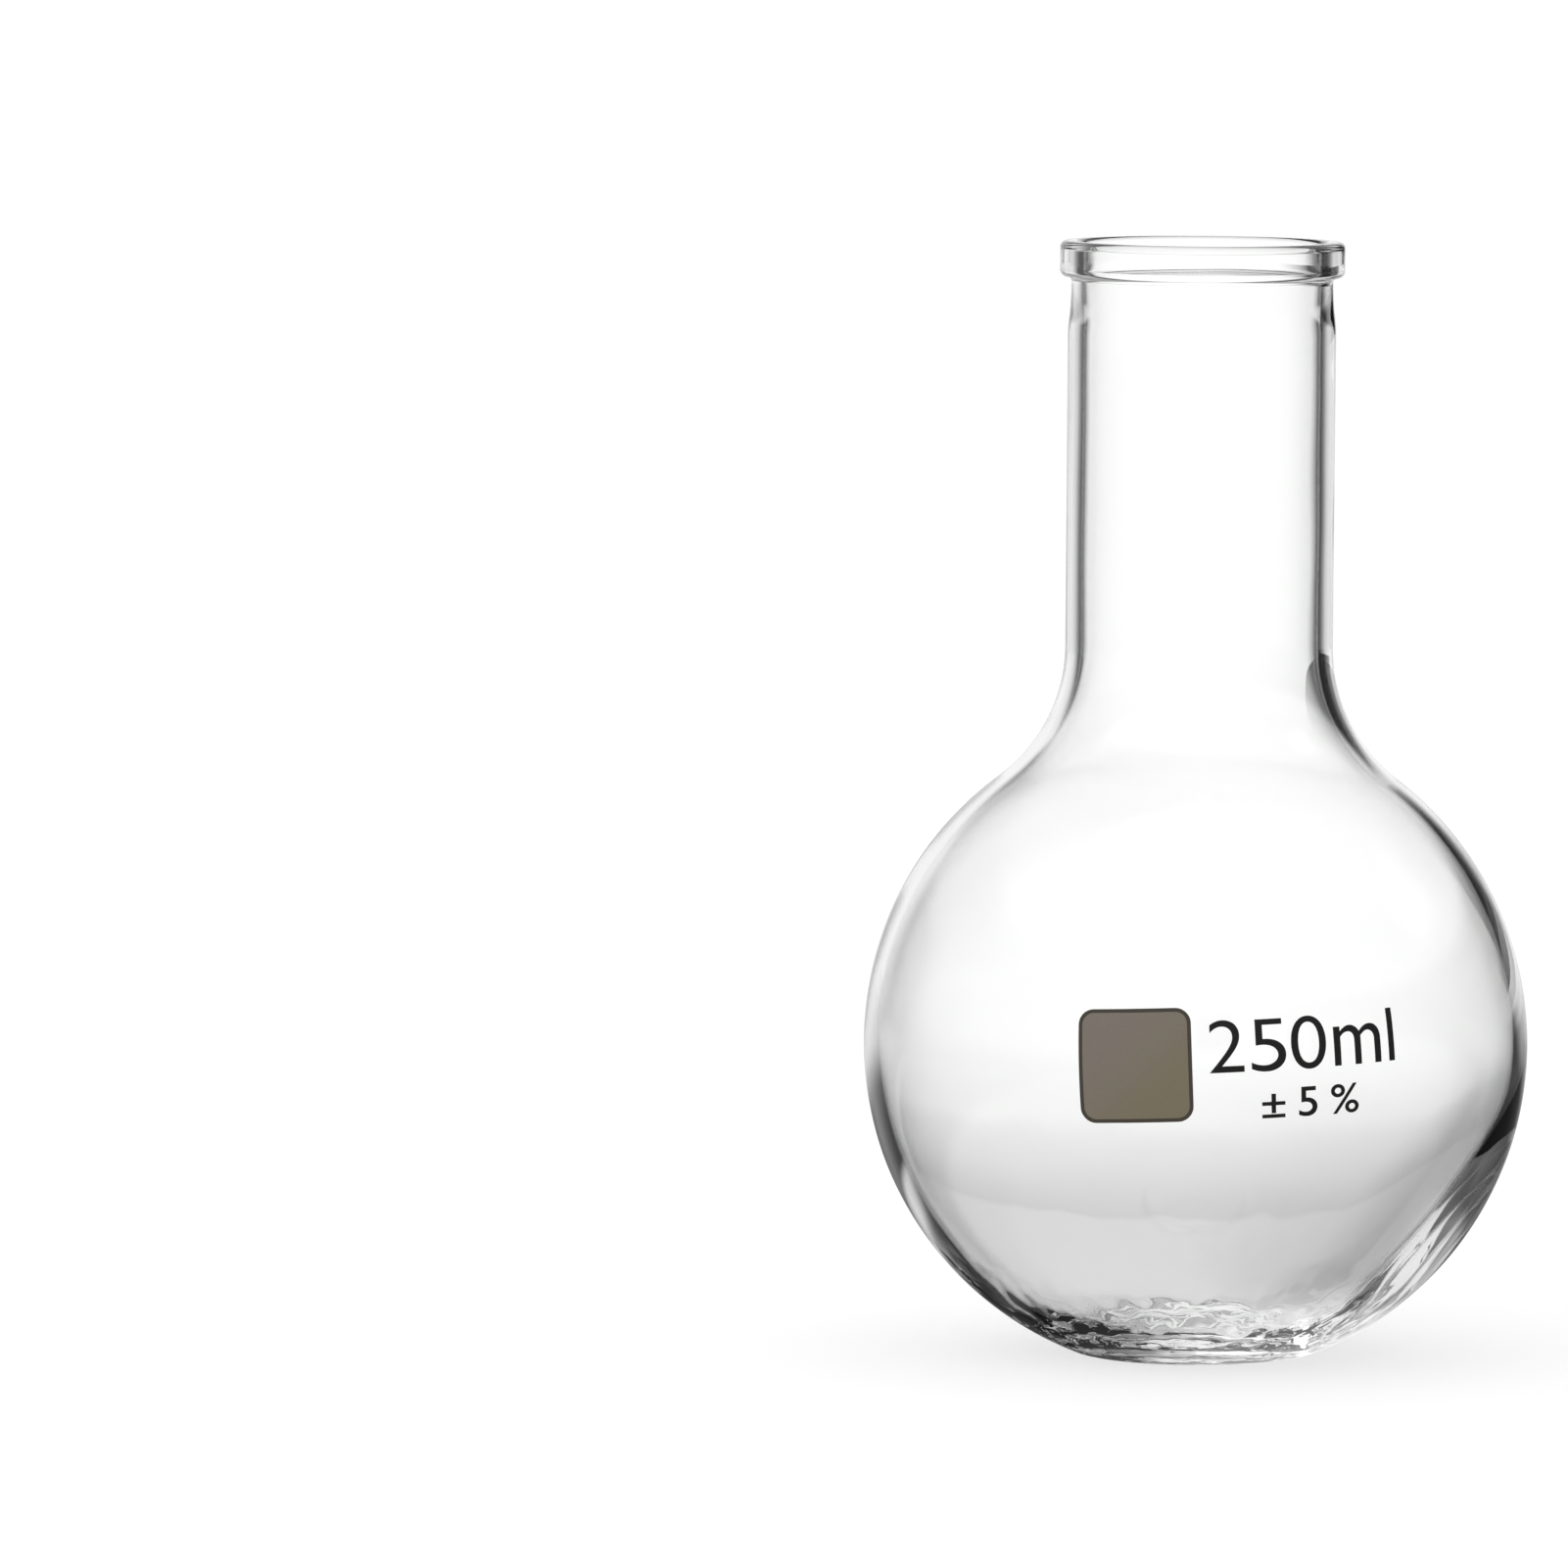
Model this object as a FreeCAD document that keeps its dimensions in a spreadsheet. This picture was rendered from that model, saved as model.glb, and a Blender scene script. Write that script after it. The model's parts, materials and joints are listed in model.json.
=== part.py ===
import FreeCAD, Part
import math
import os
import Sketcher

# Flat bottom flask with a narrow neck and a beaded rim, blown in one piece from clear glass.
# Millimetres, +Z up. The origin is the centre of the base, on the surface the flask stands on.
# The wall is drawn once, as a closed half section beside the axis, and is then turned about it.

# Driving dimensions: name, value, meaning
SIZES = (
    ("bulb_radius", 42.5, "outside of the bulb"),
    ("bulb_wall", 1.8, "how much smaller the radius of the bulb is inside"),
    ("cavity_rise", 0.4, "how far the middle of the bulb lies higher inside, which thins its top"),
    ("shoulder_radius", 21.0, "hollow outside curve between bulb and neck"),
    ("inner_shoulder_radius", 22.5, "the same curve inside"),
    ("neck_radius", 17.1, "outside of the neck"),
    ("neck_wall", 1.9, "glass of the neck"),
    ("neck_length", 51.9, "from the end of the shoulder curve to the top of the rim"),
    ("waist_depth", 0.4, "how far the neck narrows under the bead"),
    ("waist_lower_radius", 15.0, "curve where the neck turns inward"),
    ("waist_upper_radius", 40.0, "curve where the neck turns upright again"),
    ("bead_projection", 1.1, "how far the rim's bead stands out from the neck"),
    ("bead_height", 5.1, "from under the bead to the top of the rim"),
    ("underside_hollow_share", 0.35, "share of the bead's step taken by its hollow root"),
    ("outer_round_share", 0.27, "share of the lip's glass rounded on the outside"),
    ("inner_round_share", 0.42, "share of the lip's glass rounded on the inside"),
    ("ring_radius", 13.5, "outer edge of the flat ring that the flask stands on"),
    ("ring_width", 2.5, "width of the flat ring"),
    ("ring_blend_radius", 8.0, "curve between the flat ring and the pushed-up middle"),
    ("push_up", 0.9, "rise of the middle of the base"),
    ("heel_radius", 6.0, "outside curve between the flat ring and the bulb"),
    ("base_wall", 3.0, "glass at the middle of the base"),
    ("inner_heel_radius", 7.0, "curve inside between the floor and the bulb"),
)


def make_sheet(doc):
    """Write the driving dimensions into a sheet, one alias for each."""
    sheet = doc.addObject("Spreadsheet::Sheet", "Sizes")
    for row, (name, value, meaning) in enumerate(SIZES, start=1):
        sheet.set("A%d" % row, name)
        sheet.set("B%d" % row, str(value))
        sheet.set("C%d" % row, meaning)
        sheet.setAlias("B%d" % row, name)
    doc.recompute()
    return sheet


def spot(radius, height):
    """A point of the half section: distance from the axis, height above the base."""
    return FreeCAD.Vector(radius, height, 0)


def towards(start, target, distance):
    """The point that lies a distance from start, on the way to target."""
    return start + (target - start).normalize() * distance


def leg(slope, base):
    """The other leg of a right-angled triangle."""
    return math.sqrt(slope ** 2 - base ** 2)


def centre_between(low, low_distance, high, high_distance):
    """The place beside the axis that lies at given distances from two points on the axis."""
    span = high.y - low.y
    rise = (low_distance ** 2 - high_distance ** 2 + span ** 2) / (2 * span)
    return spot(leg(low_distance, rise), low.y + rise)


class Section:
    """A closed outline drawn with one pen stroke, each curve joined to the one before."""

    def __init__(self, sketch, start):
        self.sketch = sketch
        self.pen = start
        self.curves = {}

    def line(self, name, end):
        index = self.sketch.addGeometry(Part.LineSegment(self.pen, end))
        self.curves[name] = (index, 1, 2)
        self.pen = end

    def arc(self, name, centre, end):
        first = self.pen - centre
        last = end - centre
        first_angle = math.atan2(first.y, first.x)
        last_angle = math.atan2(last.y, last.x)
        turns_left = math.sin(last_angle - first_angle) > 0
        circle = Part.Circle(centre, FreeCAD.Vector(0, 0, 1), first.Length)
        if turns_left:
            index = self.sketch.addGeometry(Part.ArcOfCircle(circle, first_angle, last_angle))
            self.curves[name] = (index, 1, 2)
        else:
            index = self.sketch.addGeometry(Part.ArcOfCircle(circle, last_angle, first_angle))
            self.curves[name] = (index, 2, 1)
        self.pen = end

    def start(self, name):
        index, start, end = self.curves[name]
        return index, start

    def end(self, name):
        index, start, end = self.curves[name]
        return index, end

    def centre(self, name):
        return self.curves[name][0], 3

    def rule(self, kind, *places):
        """Add a constraint without a size."""
        return self.sketch.addConstraint(Sketcher.Constraint(kind, *places))

    def join_smoothly(self, *names):
        """Each curve runs into the next without a corner."""
        for before, after in zip(names, names[1:]):
            self.rule("Tangent", *self.end(before), *self.start(after))

    def drawn(self, kind, places):
        """The value that a size has in the drawing."""
        if kind == "Radius":
            return self.sketch.Geometry[places[0]].Radius
        first, first_point, second, second_point = places
        span = self.sketch.getPoint(second, second_point) - self.sketch.getPoint(first, first_point)
        return span.x if kind == "DistanceX" else span.y

    def size(self, name, kind, places, expression):
        """Add a constraint whose value follows the sheet, starting from what is drawn."""
        index = self.rule(kind, *places, self.drawn(kind, places))
        self.sketch.renameConstraint(index, name)
        self.sketch.setExpression("Constraints." + name, expression)

    def radius(self, curve, expression):
        self.size(curve + "_radius", "Radius", (self.curves[curve][0],), expression)


ORIGIN = (-1, 1)
FLOOR_LINE = (-1,)
AXIS_LINE = (-2,)


def draw_wall(sketch, size):
    """Draw the half section of the glass, from the middle of the base out, up, in and down."""
    bead_radius = size["neck_radius"] + size["bead_projection"]
    bore_radius = size["neck_radius"] - size["neck_wall"]
    waist_radius = size["neck_radius"] - size["waist_depth"]
    lip_wall = size["neck_wall"] + size["bead_projection"]

    # Base: a pushed-up middle, a flat ring and a rounded heel that runs into the bulb
    ring_inner_radius = size["ring_radius"] - size["ring_width"]
    push_sweep = (ring_inner_radius ** 2 + size["push_up"] ** 2) / (2 * size["push_up"])
    push_radius = push_sweep - size["ring_blend_radius"]
    push_centre = spot(0, size["push_up"] - push_radius)
    blend_centre = spot(ring_inner_radius, size["ring_blend_radius"])
    heel_centre = spot(size["ring_radius"], size["heel_radius"])
    heel_to_bulb = size["bulb_radius"] - size["heel_radius"]
    bulb_centre = spot(0, heel_centre.y + leg(heel_to_bulb, heel_centre.x))

    section = Section(sketch, spot(0, size["push_up"]))
    section.arc("push_up", push_centre, towards(push_centre, blend_centre, push_radius))
    section.arc("ring_blend", blend_centre, spot(ring_inner_radius, 0))
    section.line("ring", spot(size["ring_radius"], 0))
    section.arc("heel", heel_centre, towards(bulb_centre, heel_centre, size["bulb_radius"]))

    # Bulb, shoulder and neck
    shoulder_reach = size["neck_radius"] + size["shoulder_radius"]
    shoulder_rise = leg(size["bulb_radius"] + size["shoulder_radius"], shoulder_reach)
    shoulder_centre = spot(shoulder_reach, bulb_centre.y + shoulder_rise)
    rim_height = shoulder_centre.y + size["neck_length"]
    bead_bottom = rim_height - size["bead_height"]
    waist_sweep = size["waist_lower_radius"] + size["waist_upper_radius"]
    waist_turn = math.acos(1 - size["waist_depth"] / waist_sweep)
    waist_bottom = bead_bottom - waist_sweep * math.sin(waist_turn)
    lower_centre = spot(size["neck_radius"] - size["waist_lower_radius"], waist_bottom)
    upper_centre = spot(waist_radius + size["waist_upper_radius"], bead_bottom)

    section.arc("bulb", bulb_centre, towards(bulb_centre, shoulder_centre, size["bulb_radius"]))
    section.arc("shoulder", shoulder_centre, spot(size["neck_radius"], shoulder_centre.y))
    section.line("neck", spot(size["neck_radius"], waist_bottom))
    waist_middle = towards(lower_centre, upper_centre, size["waist_lower_radius"])
    section.arc("waist_lower", lower_centre, waist_middle)
    section.arc("waist_upper", upper_centre, spot(waist_radius, bead_bottom))

    # Beaded rim, softened by the flame on every edge
    hollow = (bead_radius - waist_radius) * size["underside_hollow_share"]
    underside = bead_radius - waist_radius - hollow
    outer_round = lip_wall * size["outer_round_share"]
    inner_round = lip_wall * size["inner_round_share"]
    hollow_edge = waist_radius + hollow
    side_bottom = bead_bottom + hollow + underside

    section.arc("hollow", spot(hollow_edge, bead_bottom), spot(hollow_edge, bead_bottom + hollow))
    section.arc("underside", spot(hollow_edge, side_bottom), spot(bead_radius, side_bottom))
    section.line("bead_side", spot(bead_radius, rim_height - outer_round))
    outer_centre = spot(bead_radius - outer_round, rim_height - outer_round)
    section.arc("outer_round", outer_centre, spot(outer_centre.x, rim_height))
    inner_centre = spot(bore_radius + inner_round, rim_height - inner_round)
    section.line("lip", spot(inner_centre.x, rim_height))
    section.arc("inner_round", inner_centre, spot(bore_radius, inner_centre.y))

    # Inside: bore, shoulder, bulb, heel and floor
    inner_bulb_radius = size["bulb_radius"] - size["bulb_wall"]
    inner_bulb_centre = spot(0, bulb_centre.y + size["cavity_rise"])
    inner_reach = bore_radius + size["inner_shoulder_radius"]
    inner_rise = leg(inner_bulb_radius + size["inner_shoulder_radius"], inner_reach)
    inner_shoulder_centre = spot(inner_reach, inner_bulb_centre.y + inner_rise)
    floor_radius = push_radius + size["base_wall"]
    inner_heel_centre = centre_between(
        push_centre,
        floor_radius + size["inner_heel_radius"],
        inner_bulb_centre,
        inner_bulb_radius - size["inner_heel_radius"],
    )

    section.line("bore", spot(bore_radius, inner_shoulder_centre.y))
    shoulder_foot = towards(inner_bulb_centre, inner_shoulder_centre, inner_bulb_radius)
    section.arc("inner_shoulder", inner_shoulder_centre, shoulder_foot)
    heel_top = towards(inner_bulb_centre, inner_heel_centre, inner_bulb_radius)
    section.arc("inner_bulb", inner_bulb_centre, heel_top)
    heel_foot = towards(push_centre, inner_heel_centre, floor_radius)
    section.arc("inner_heel", inner_heel_centre, heel_foot)
    section.arc("floor", push_centre, spot(0, size["push_up"] + size["base_wall"]))
    section.line("middle", spot(0, size["push_up"]))
    return section


def fix_wall(section):
    """Tie the half section to the sheet."""
    section.join_smoothly("push_up", "ring_blend", "ring", "heel", "bulb", "shoulder", "neck")
    section.join_smoothly("neck", "waist_lower", "waist_upper", "hollow", "underside", "bead_side")
    section.join_smoothly("bead_side", "outer_round", "lip", "inner_round", "bore")
    section.join_smoothly("bore", "inner_shoulder", "inner_bulb", "inner_heel", "floor")
    section.rule("Coincident", *section.end("floor"), *section.start("middle"))
    section.rule("Coincident", *section.end("middle"), *section.start("push_up"))

    # What lies on the axis, on the standing surface, level or upright
    section.rule("PointOnObject", *section.start("middle"), *AXIS_LINE)
    section.rule("PointOnObject", *section.end("middle"), *AXIS_LINE)
    section.rule("PointOnObject", *section.centre("push_up"), *AXIS_LINE)
    section.rule("PointOnObject", *section.centre("bulb"), *AXIS_LINE)
    section.rule("PointOnObject", *section.centre("inner_bulb"), *AXIS_LINE)
    section.rule("PointOnObject", *section.start("ring"), *FLOOR_LINE)
    section.rule("PointOnObject", *section.end("ring"), *FLOOR_LINE)
    section.rule("Vertical", section.curves["neck"][0])
    section.rule("Vertical", section.curves["bead_side"][0])
    section.rule("Vertical", section.curves["bore"][0])
    section.rule("Horizontal", section.curves["lip"][0])
    section.rule("Horizontal", *section.centre("waist_upper"), *section.end("waist_upper"))
    section.rule("Vertical", *section.centre("hollow"), *section.end("hollow"))

    # The floor inside follows the pushed-up base
    section.rule("Coincident", *section.centre("push_up"), *section.centre("floor"))

    # Base
    section.size("push_up", "DistanceY", (*ORIGIN, *section.start("push_up")), "Sizes.push_up")
    section.size("ring_radius", "DistanceX", (*ORIGIN, *section.end("ring")), "Sizes.ring_radius")
    ring_ends = (*section.start("ring"), *section.end("ring"))
    section.size("ring_width", "DistanceX", ring_ends, "Sizes.ring_width")
    middle_ends = (*section.end("middle"), *section.start("middle"))
    section.size("base_wall", "DistanceY", middle_ends, "Sizes.base_wall")
    section.radius("ring_blend", "Sizes.ring_blend_radius")
    section.radius("heel", "Sizes.heel_radius")
    section.radius("inner_heel", "Sizes.inner_heel_radius")

    # Bulb, shoulder and neck
    section.radius("bulb", "Sizes.bulb_radius")
    section.radius("inner_bulb", "Sizes.bulb_radius - Sizes.bulb_wall")
    bulb_centres = (*section.centre("bulb"), *section.centre("inner_bulb"))
    section.size("cavity_rise", "DistanceY", bulb_centres, "Sizes.cavity_rise")
    section.radius("shoulder", "Sizes.shoulder_radius")
    section.radius("inner_shoulder", "Sizes.inner_shoulder_radius")
    section.size("neck_radius", "DistanceX", (*ORIGIN, *section.start("neck")), "Sizes.neck_radius")
    bore_radius = "Sizes.neck_radius - Sizes.neck_wall"
    section.size("bore_radius", "DistanceX", (*ORIGIN, *section.end("bore")), bore_radius)
    neck_ends = (*section.start("neck"), *section.end("lip"))
    section.size("neck_length", "DistanceY", neck_ends, "Sizes.neck_length")
    waist_radius = "Sizes.neck_radius - Sizes.waist_depth"
    section.size("waist_radius", "DistanceX", (*ORIGIN, *section.end("waist_upper")), waist_radius)
    section.radius("waist_lower", "Sizes.waist_lower_radius")
    section.radius("waist_upper", "Sizes.waist_upper_radius")

    # Rim
    bead_radius = "Sizes.neck_radius + Sizes.bead_projection"
    section.size("bead_radius", "DistanceX", (*ORIGIN, *section.end("bead_side")), bead_radius)
    bead_ends = (*section.start("hollow"), *section.end("lip"))
    section.size("bead_height", "DistanceY", bead_ends, "Sizes.bead_height")
    bead_step = "(Sizes.bead_projection + Sizes.waist_depth)"
    section.radius("hollow", bead_step + " * Sizes.underside_hollow_share")
    lip_wall = "(Sizes.neck_wall + Sizes.bead_projection)"
    section.radius("outer_round", lip_wall + " * Sizes.outer_round_share")
    section.radius("inner_round", lip_wall + " * Sizes.inner_round_share")


def origin_feature(body, role):
    """One of the body's own origin planes or axes."""
    return next(item for item in body.Origin.OriginFeatures if item.Role == role)


def make_flask(doc):
    """Turn the half section of the wall about the flask's axis."""
    body = doc.addObject("PartDesign::Body", "Flask")
    body.Label = "flask"
    body.Placement = FreeCAD.Placement()

    sketch = body.newObject("Sketcher::SketchObject", "WallSection")
    sketch.AttachmentSupport = (origin_feature(body, "XZ_Plane"), [""])
    sketch.MapMode = "FlatFace"
    section = draw_wall(sketch, {name: value for name, value, meaning in SIZES})
    fix_wall(section)
    doc.recompute()

    turned = body.newObject("PartDesign::Revolution", "TurnedWall")
    turned.Profile = sketch
    turned.ReferenceAxis = (sketch, ["V_Axis"])
    turned.Angle = 360.0
    body.Tip = turned
    doc.recompute()
    return body, sketch


def check(doc, body, sketch):
    """Stop if anything failed to build."""
    for item in doc.Objects:
        if "Invalid" in item.State or "Error" in item.State:
            raise RuntimeError("%s failed: %s" % (item.Label, item.State))
    if sketch.solve() != 0 or not sketch.FullyConstrained:
        raise RuntimeError("the wall section is not fully fixed by its sizes")
    if body.Shape.isNull() or not body.Shape.isValid() or len(body.Shape.Solids) != 1:
        raise RuntimeError("the flask is not one valid solid")


def main():
    doc = FreeCAD.newDocument("FlatBottomFlask")
    make_sheet(doc)
    body, sketch = make_flask(doc)
    check(doc, body, sketch)

    os.makedirs("parts", exist_ok=True)
    body.Shape.exportStep(os.path.join("parts", body.Label + ".step"))
    box = body.Shape.BoundBox
    print("%s: %.2f cm3 of glass" % (body.Label, body.Shape.Volume / 1000))
    print("across %.2f, height %.2f to %.2f" % (box.XLength, box.ZMin, box.ZMax))


main()
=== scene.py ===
import json
import math

import bpy
from bpy.props import FloatProperty, FloatVectorProperty, IntProperty, PointerProperty
from mathutils import Matrix, Vector


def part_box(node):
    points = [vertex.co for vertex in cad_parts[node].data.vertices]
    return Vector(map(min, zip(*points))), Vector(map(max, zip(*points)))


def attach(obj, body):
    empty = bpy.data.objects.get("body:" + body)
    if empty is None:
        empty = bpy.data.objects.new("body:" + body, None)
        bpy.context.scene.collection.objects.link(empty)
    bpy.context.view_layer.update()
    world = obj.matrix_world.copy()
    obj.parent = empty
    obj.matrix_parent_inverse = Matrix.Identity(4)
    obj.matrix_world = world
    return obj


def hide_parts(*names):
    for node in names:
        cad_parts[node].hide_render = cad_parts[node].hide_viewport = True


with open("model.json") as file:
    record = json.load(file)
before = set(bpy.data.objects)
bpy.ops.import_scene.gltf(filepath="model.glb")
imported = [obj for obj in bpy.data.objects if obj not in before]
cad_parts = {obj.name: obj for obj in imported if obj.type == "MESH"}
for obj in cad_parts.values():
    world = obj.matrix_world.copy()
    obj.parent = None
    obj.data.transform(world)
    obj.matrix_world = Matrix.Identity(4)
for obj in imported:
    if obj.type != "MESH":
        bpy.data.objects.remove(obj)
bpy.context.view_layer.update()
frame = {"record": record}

bl_info = {
    "name": "Flat Bottom Flask",
    "version": (1, 0, 0),
    "blender": (4, 5, 0),
    "location": "View3D > Sidebar > Flask",
    "description": "Builds a blown glass flask with a beaded rim, its printed marks and a plain studio",
    "category": "Add Mesh",
}

RIM_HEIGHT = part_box("flask")[1].z
MOUNTS = {mount["name"]: mount for mount in frame["record"]["mounts"]}
BORE_RADIUS = MOUNTS["neck_bore"]["dims"]["r_mm"] / 1000
BULB_HEIGHT = MOUNTS["bulb_underside"]["pos_m"][2]

# The photograph's frame, and where the middle of the bulb stands in it
PICTURE_PIXELS = 1601
BULB_PIXEL_X = 1220.5
BULB_PIXEL_Y = 1064.5

MM = 0.001
SAME_PLACE = MM / 1000
SHARP_ANGLE = math.radians(40)

# The printed signs, each with its left, right, foot and head in mm from the middle of the patch,
# and how much bolder than the plain letter its strokes are
VOLUME_CELLS = (
    ("2", 9.40, 13.80, -1.20, 5.45, -0.006),
    ("5", 14.72, 19.20, -1.30, 5.35, -0.006),
    ("0", 19.90, 24.58, -1.30, 5.45, -0.006),
    ("m", 25.66, 32.34, -1.20, 3.85, 0),
    ("l", 33.55, 34.40, -1.20, 5.55, 0),
)
TOLERANCE_CELLS = (
    ("±", 15.90, 18.90, -7.25, -4.15, 0.006),
    ("5", 20.70, 23.15, -7.30, -3.50, 0.006),
    ("%", 25.00, 28.90, -7.30, -3.50, 0.006),
)


def length(name, description, default):
    """A property that holds a length in metres."""
    return FloatProperty(name=name, description=description, default=default, unit="LENGTH", precision=5)


def turn(name, description, default):
    """A property that holds an angle, given here in degrees."""
    return FloatProperty(name=name, description=description, default=math.radians(default), subtype="ANGLE")


def share(name, description, default):
    """A property that holds a share of another value."""
    return FloatProperty(name=name, description=description, default=default, min=0.0)


def colour(name, description, default):
    """A property that holds a linear colour."""
    return FloatVectorProperty(name=name, description=description, default=default, subtype="COLOR")


class FlaskGlass(bpy.types.PropertyGroup):
    """Sizes of the blown glass"""

    rim_height: length("Rim height", "Base to the top of the rim", RIM_HEIGHT)
    bulb_height: length("Bulb height", "Base to the middle of the bulb", BULB_HEIGHT)
    bulb_radius: length("Bulb radius", "Outside of the bulb", 42.5 * MM)
    bulb_wall: length("Bulb wall", "How much smaller the bulb's radius is inside", 1.8 * MM)
    cavity_rise: length("Cavity rise", "How far the middle of the bulb lies higher inside", 0.4 * MM)
    shoulder_radius: length("Shoulder radius", "Hollow curve between bulb and neck", 21.0 * MM)
    inner_shoulder_radius: length("Inner shoulder radius", "The same curve inside", 22.5 * MM)
    neck_radius: length("Neck radius", "Outside of the neck", 17.1 * MM)
    bore_radius: length("Bore radius", "Inside of the neck", BORE_RADIUS)
    waist_depth: length("Waist depth", "How far the neck narrows under the bead", 0.4 * MM)
    waist_lower_radius: length("Waist lower radius", "Curve where the neck turns inward", 15.0 * MM)
    waist_upper_radius: length("Waist upper radius", "Curve where it turns upright again", 40.0 * MM)
    bead_projection: length("Bead projection", "How far the bead stands out from the neck", 1.1 * MM)
    bead_height: length("Bead height", "Under the bead to the top of the rim", 5.1 * MM)
    hollow_share: share("Hollow share", "Share of the bead's step taken by its hollow root", 0.35)
    outer_round_share: share("Outer round share", "Share of the lip rounded on the outside", 0.27)
    inner_round_share: share("Inner round share", "Share of the lip rounded on the inside", 0.42)
    ring_radius: length("Ring radius", "Outer edge of the flat ring it stands on", 13.5 * MM)
    ring_width: length("Ring width", "Width of the flat ring", 2.5 * MM)
    ring_blend_radius: length("Ring blend radius", "Curve between ring and push-up", 8.0 * MM)
    push_up: length("Push-up", "Rise of the middle of the base", 0.9 * MM)
    heel_radius: length("Heel radius", "Curve between the flat ring and the bulb", 6.0 * MM)
    base_wall: length("Base wall", "Glass at the middle of the base", 3.0 * MM)
    inner_heel_radius: length("Inner heel radius", "Curve between floor and bulb inside", 7.0 * MM)
    floor_rise: length("Floor rise", "Extra glass in the middle of the floor", 1.8 * MM)
    floor_rise_reach: length("Floor rise reach", "Where that extra glass has faded out", 30.0 * MM)
    thick_side: length("Thick side", "Extra glass in the lower wall on one side", 2.4 * MM)
    thick_side_reach: length("Thick side reach", "Where that extra glass has faded out", 27.0 * MM)
    thick_side_aside: share("Thick side aside", "Its way to the right, in bulb radii", 0.75)
    thick_side_below: share("Thick side below", "Its way down, in bulb radii", 0.62)
    ripple: length("Ripple", "Height of the ripples in the floor", 0.35 * MM)
    ripple_grain: length("Ripple grain", "Size of one ripple", 2.6 * MM)
    ripple_top: length("Ripple top", "Height at which the ripples have faded out", 16.0 * MM)
    wander: length("Wander", "How much the wall's thickness wanders", 0.25 * MM)
    wander_grain: length("Wander grain", "Size of one thicker or thinner place", 11.0 * MM)
    wander_low: share("Wander low down", "Share of the wander at the floor", 1.4)
    wander_elsewhere: share("Wander elsewhere", "Share of the wander outside and in the neck", 0.15)
    segments: IntProperty(name="Segments", description="Steps of the full turn", default=256, min=16)
    tint: colour("Tint", "Colour of the glass", (0.985, 0.99, 0.985))


class FlaskPrint(bpy.types.PropertyGroup):
    """Sizes and colours of the printed marks"""

    patch_size: length("Patch size", "Side of the square marking patch", 14.5 * MM)
    patch_corner: length("Patch corner", "Radius of the patch's corners", 2.0 * MM)
    patch_rim: length("Patch rim", "Width of the patch's darker edge", 0.5 * MM)
    rise: length("Rise", "Middle of the patch above the middle of the bulb", 1.15 * MM)
    tilt: turn("Tilt", "How far the print is turned on the bulb", 2.5)
    thickness: length("Thickness", "How far the fired colour stands on the glass", 0.04 * MM)
    gap: length("Gap", "Room between glass and colour", 0.01 * MM)
    patch_upper: colour("Patch colour, upper left", "Fired warm grey", (0.183, 0.158, 0.132))
    patch_lower: colour("Patch colour, lower right", "Fired olive grey", (0.174, 0.152, 0.098))
    patch_edge: colour("Edge colour", "Where the colour lies thicker", (0.055, 0.046, 0.035))
    ink_colour: colour("Ink colour", "Fired black", (0.009, 0.008, 0.008))


class FlaskStudio(bpy.types.PropertyGroup):
    """Camera, floor and light"""

    distance: length("Distance", "Camera to the middle of the bulb", 1.75)
    frame_width: length("Frame width", "Width that the picture takes in at the bulb", 0.20093)
    azimuth: turn("Azimuth", "How far the view is turned to the right of the patch", 12.0)
    elevation: turn("Elevation", "How far the view looks down", 4.6)
    roll: turn("Roll", "Turn of the picture", 0.4)
    floor_radius: length("Floor radius", "Size of the round floor", 3.0)
    floor_paint: share("Floor paint", "Share of the lamp's light that the floor gives back", 0.4)
    floor_glow: share("Floor glow", "Light that the floor gives by itself", 0.62)
    lamp_place: FloatVectorProperty(
        name="Lamp place", description="Where the soft lamp hangs", default=(-0.6, -0.7, 0.8),
        subtype="TRANSLATION", unit="LENGTH")
    lamp_aim: length("Lamp aim", "Height of the place that the lamp points at", 0.05)
    lamp_size: length("Lamp size", "Side of the soft lamp", 0.7)
    lamp_power: FloatProperty(name="Lamp power", description="Power of the soft lamp", default=2.0, min=0.0)
    mirror_bounces: IntProperty(
        name="Mirror bounces", description="How often light may be mirrored inside the thick glass",
        default=12, min=4)


def select_only(piece):
    bpy.ops.object.select_all(action="DESELECT")
    piece.select_set(True)
    bpy.context.view_layer.objects.active = piece


def apply_modifiers(piece):
    select_only(piece)
    for modifier in list(piece.modifiers):
        bpy.ops.object.modifier_apply(modifier=modifier.name)


def settle(piece):
    """Put the object at the origin, unturned and unscaled, with its place in its mesh."""
    select_only(piece)
    bpy.ops.object.transform_apply(location=True, rotation=True, scale=True)


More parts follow.
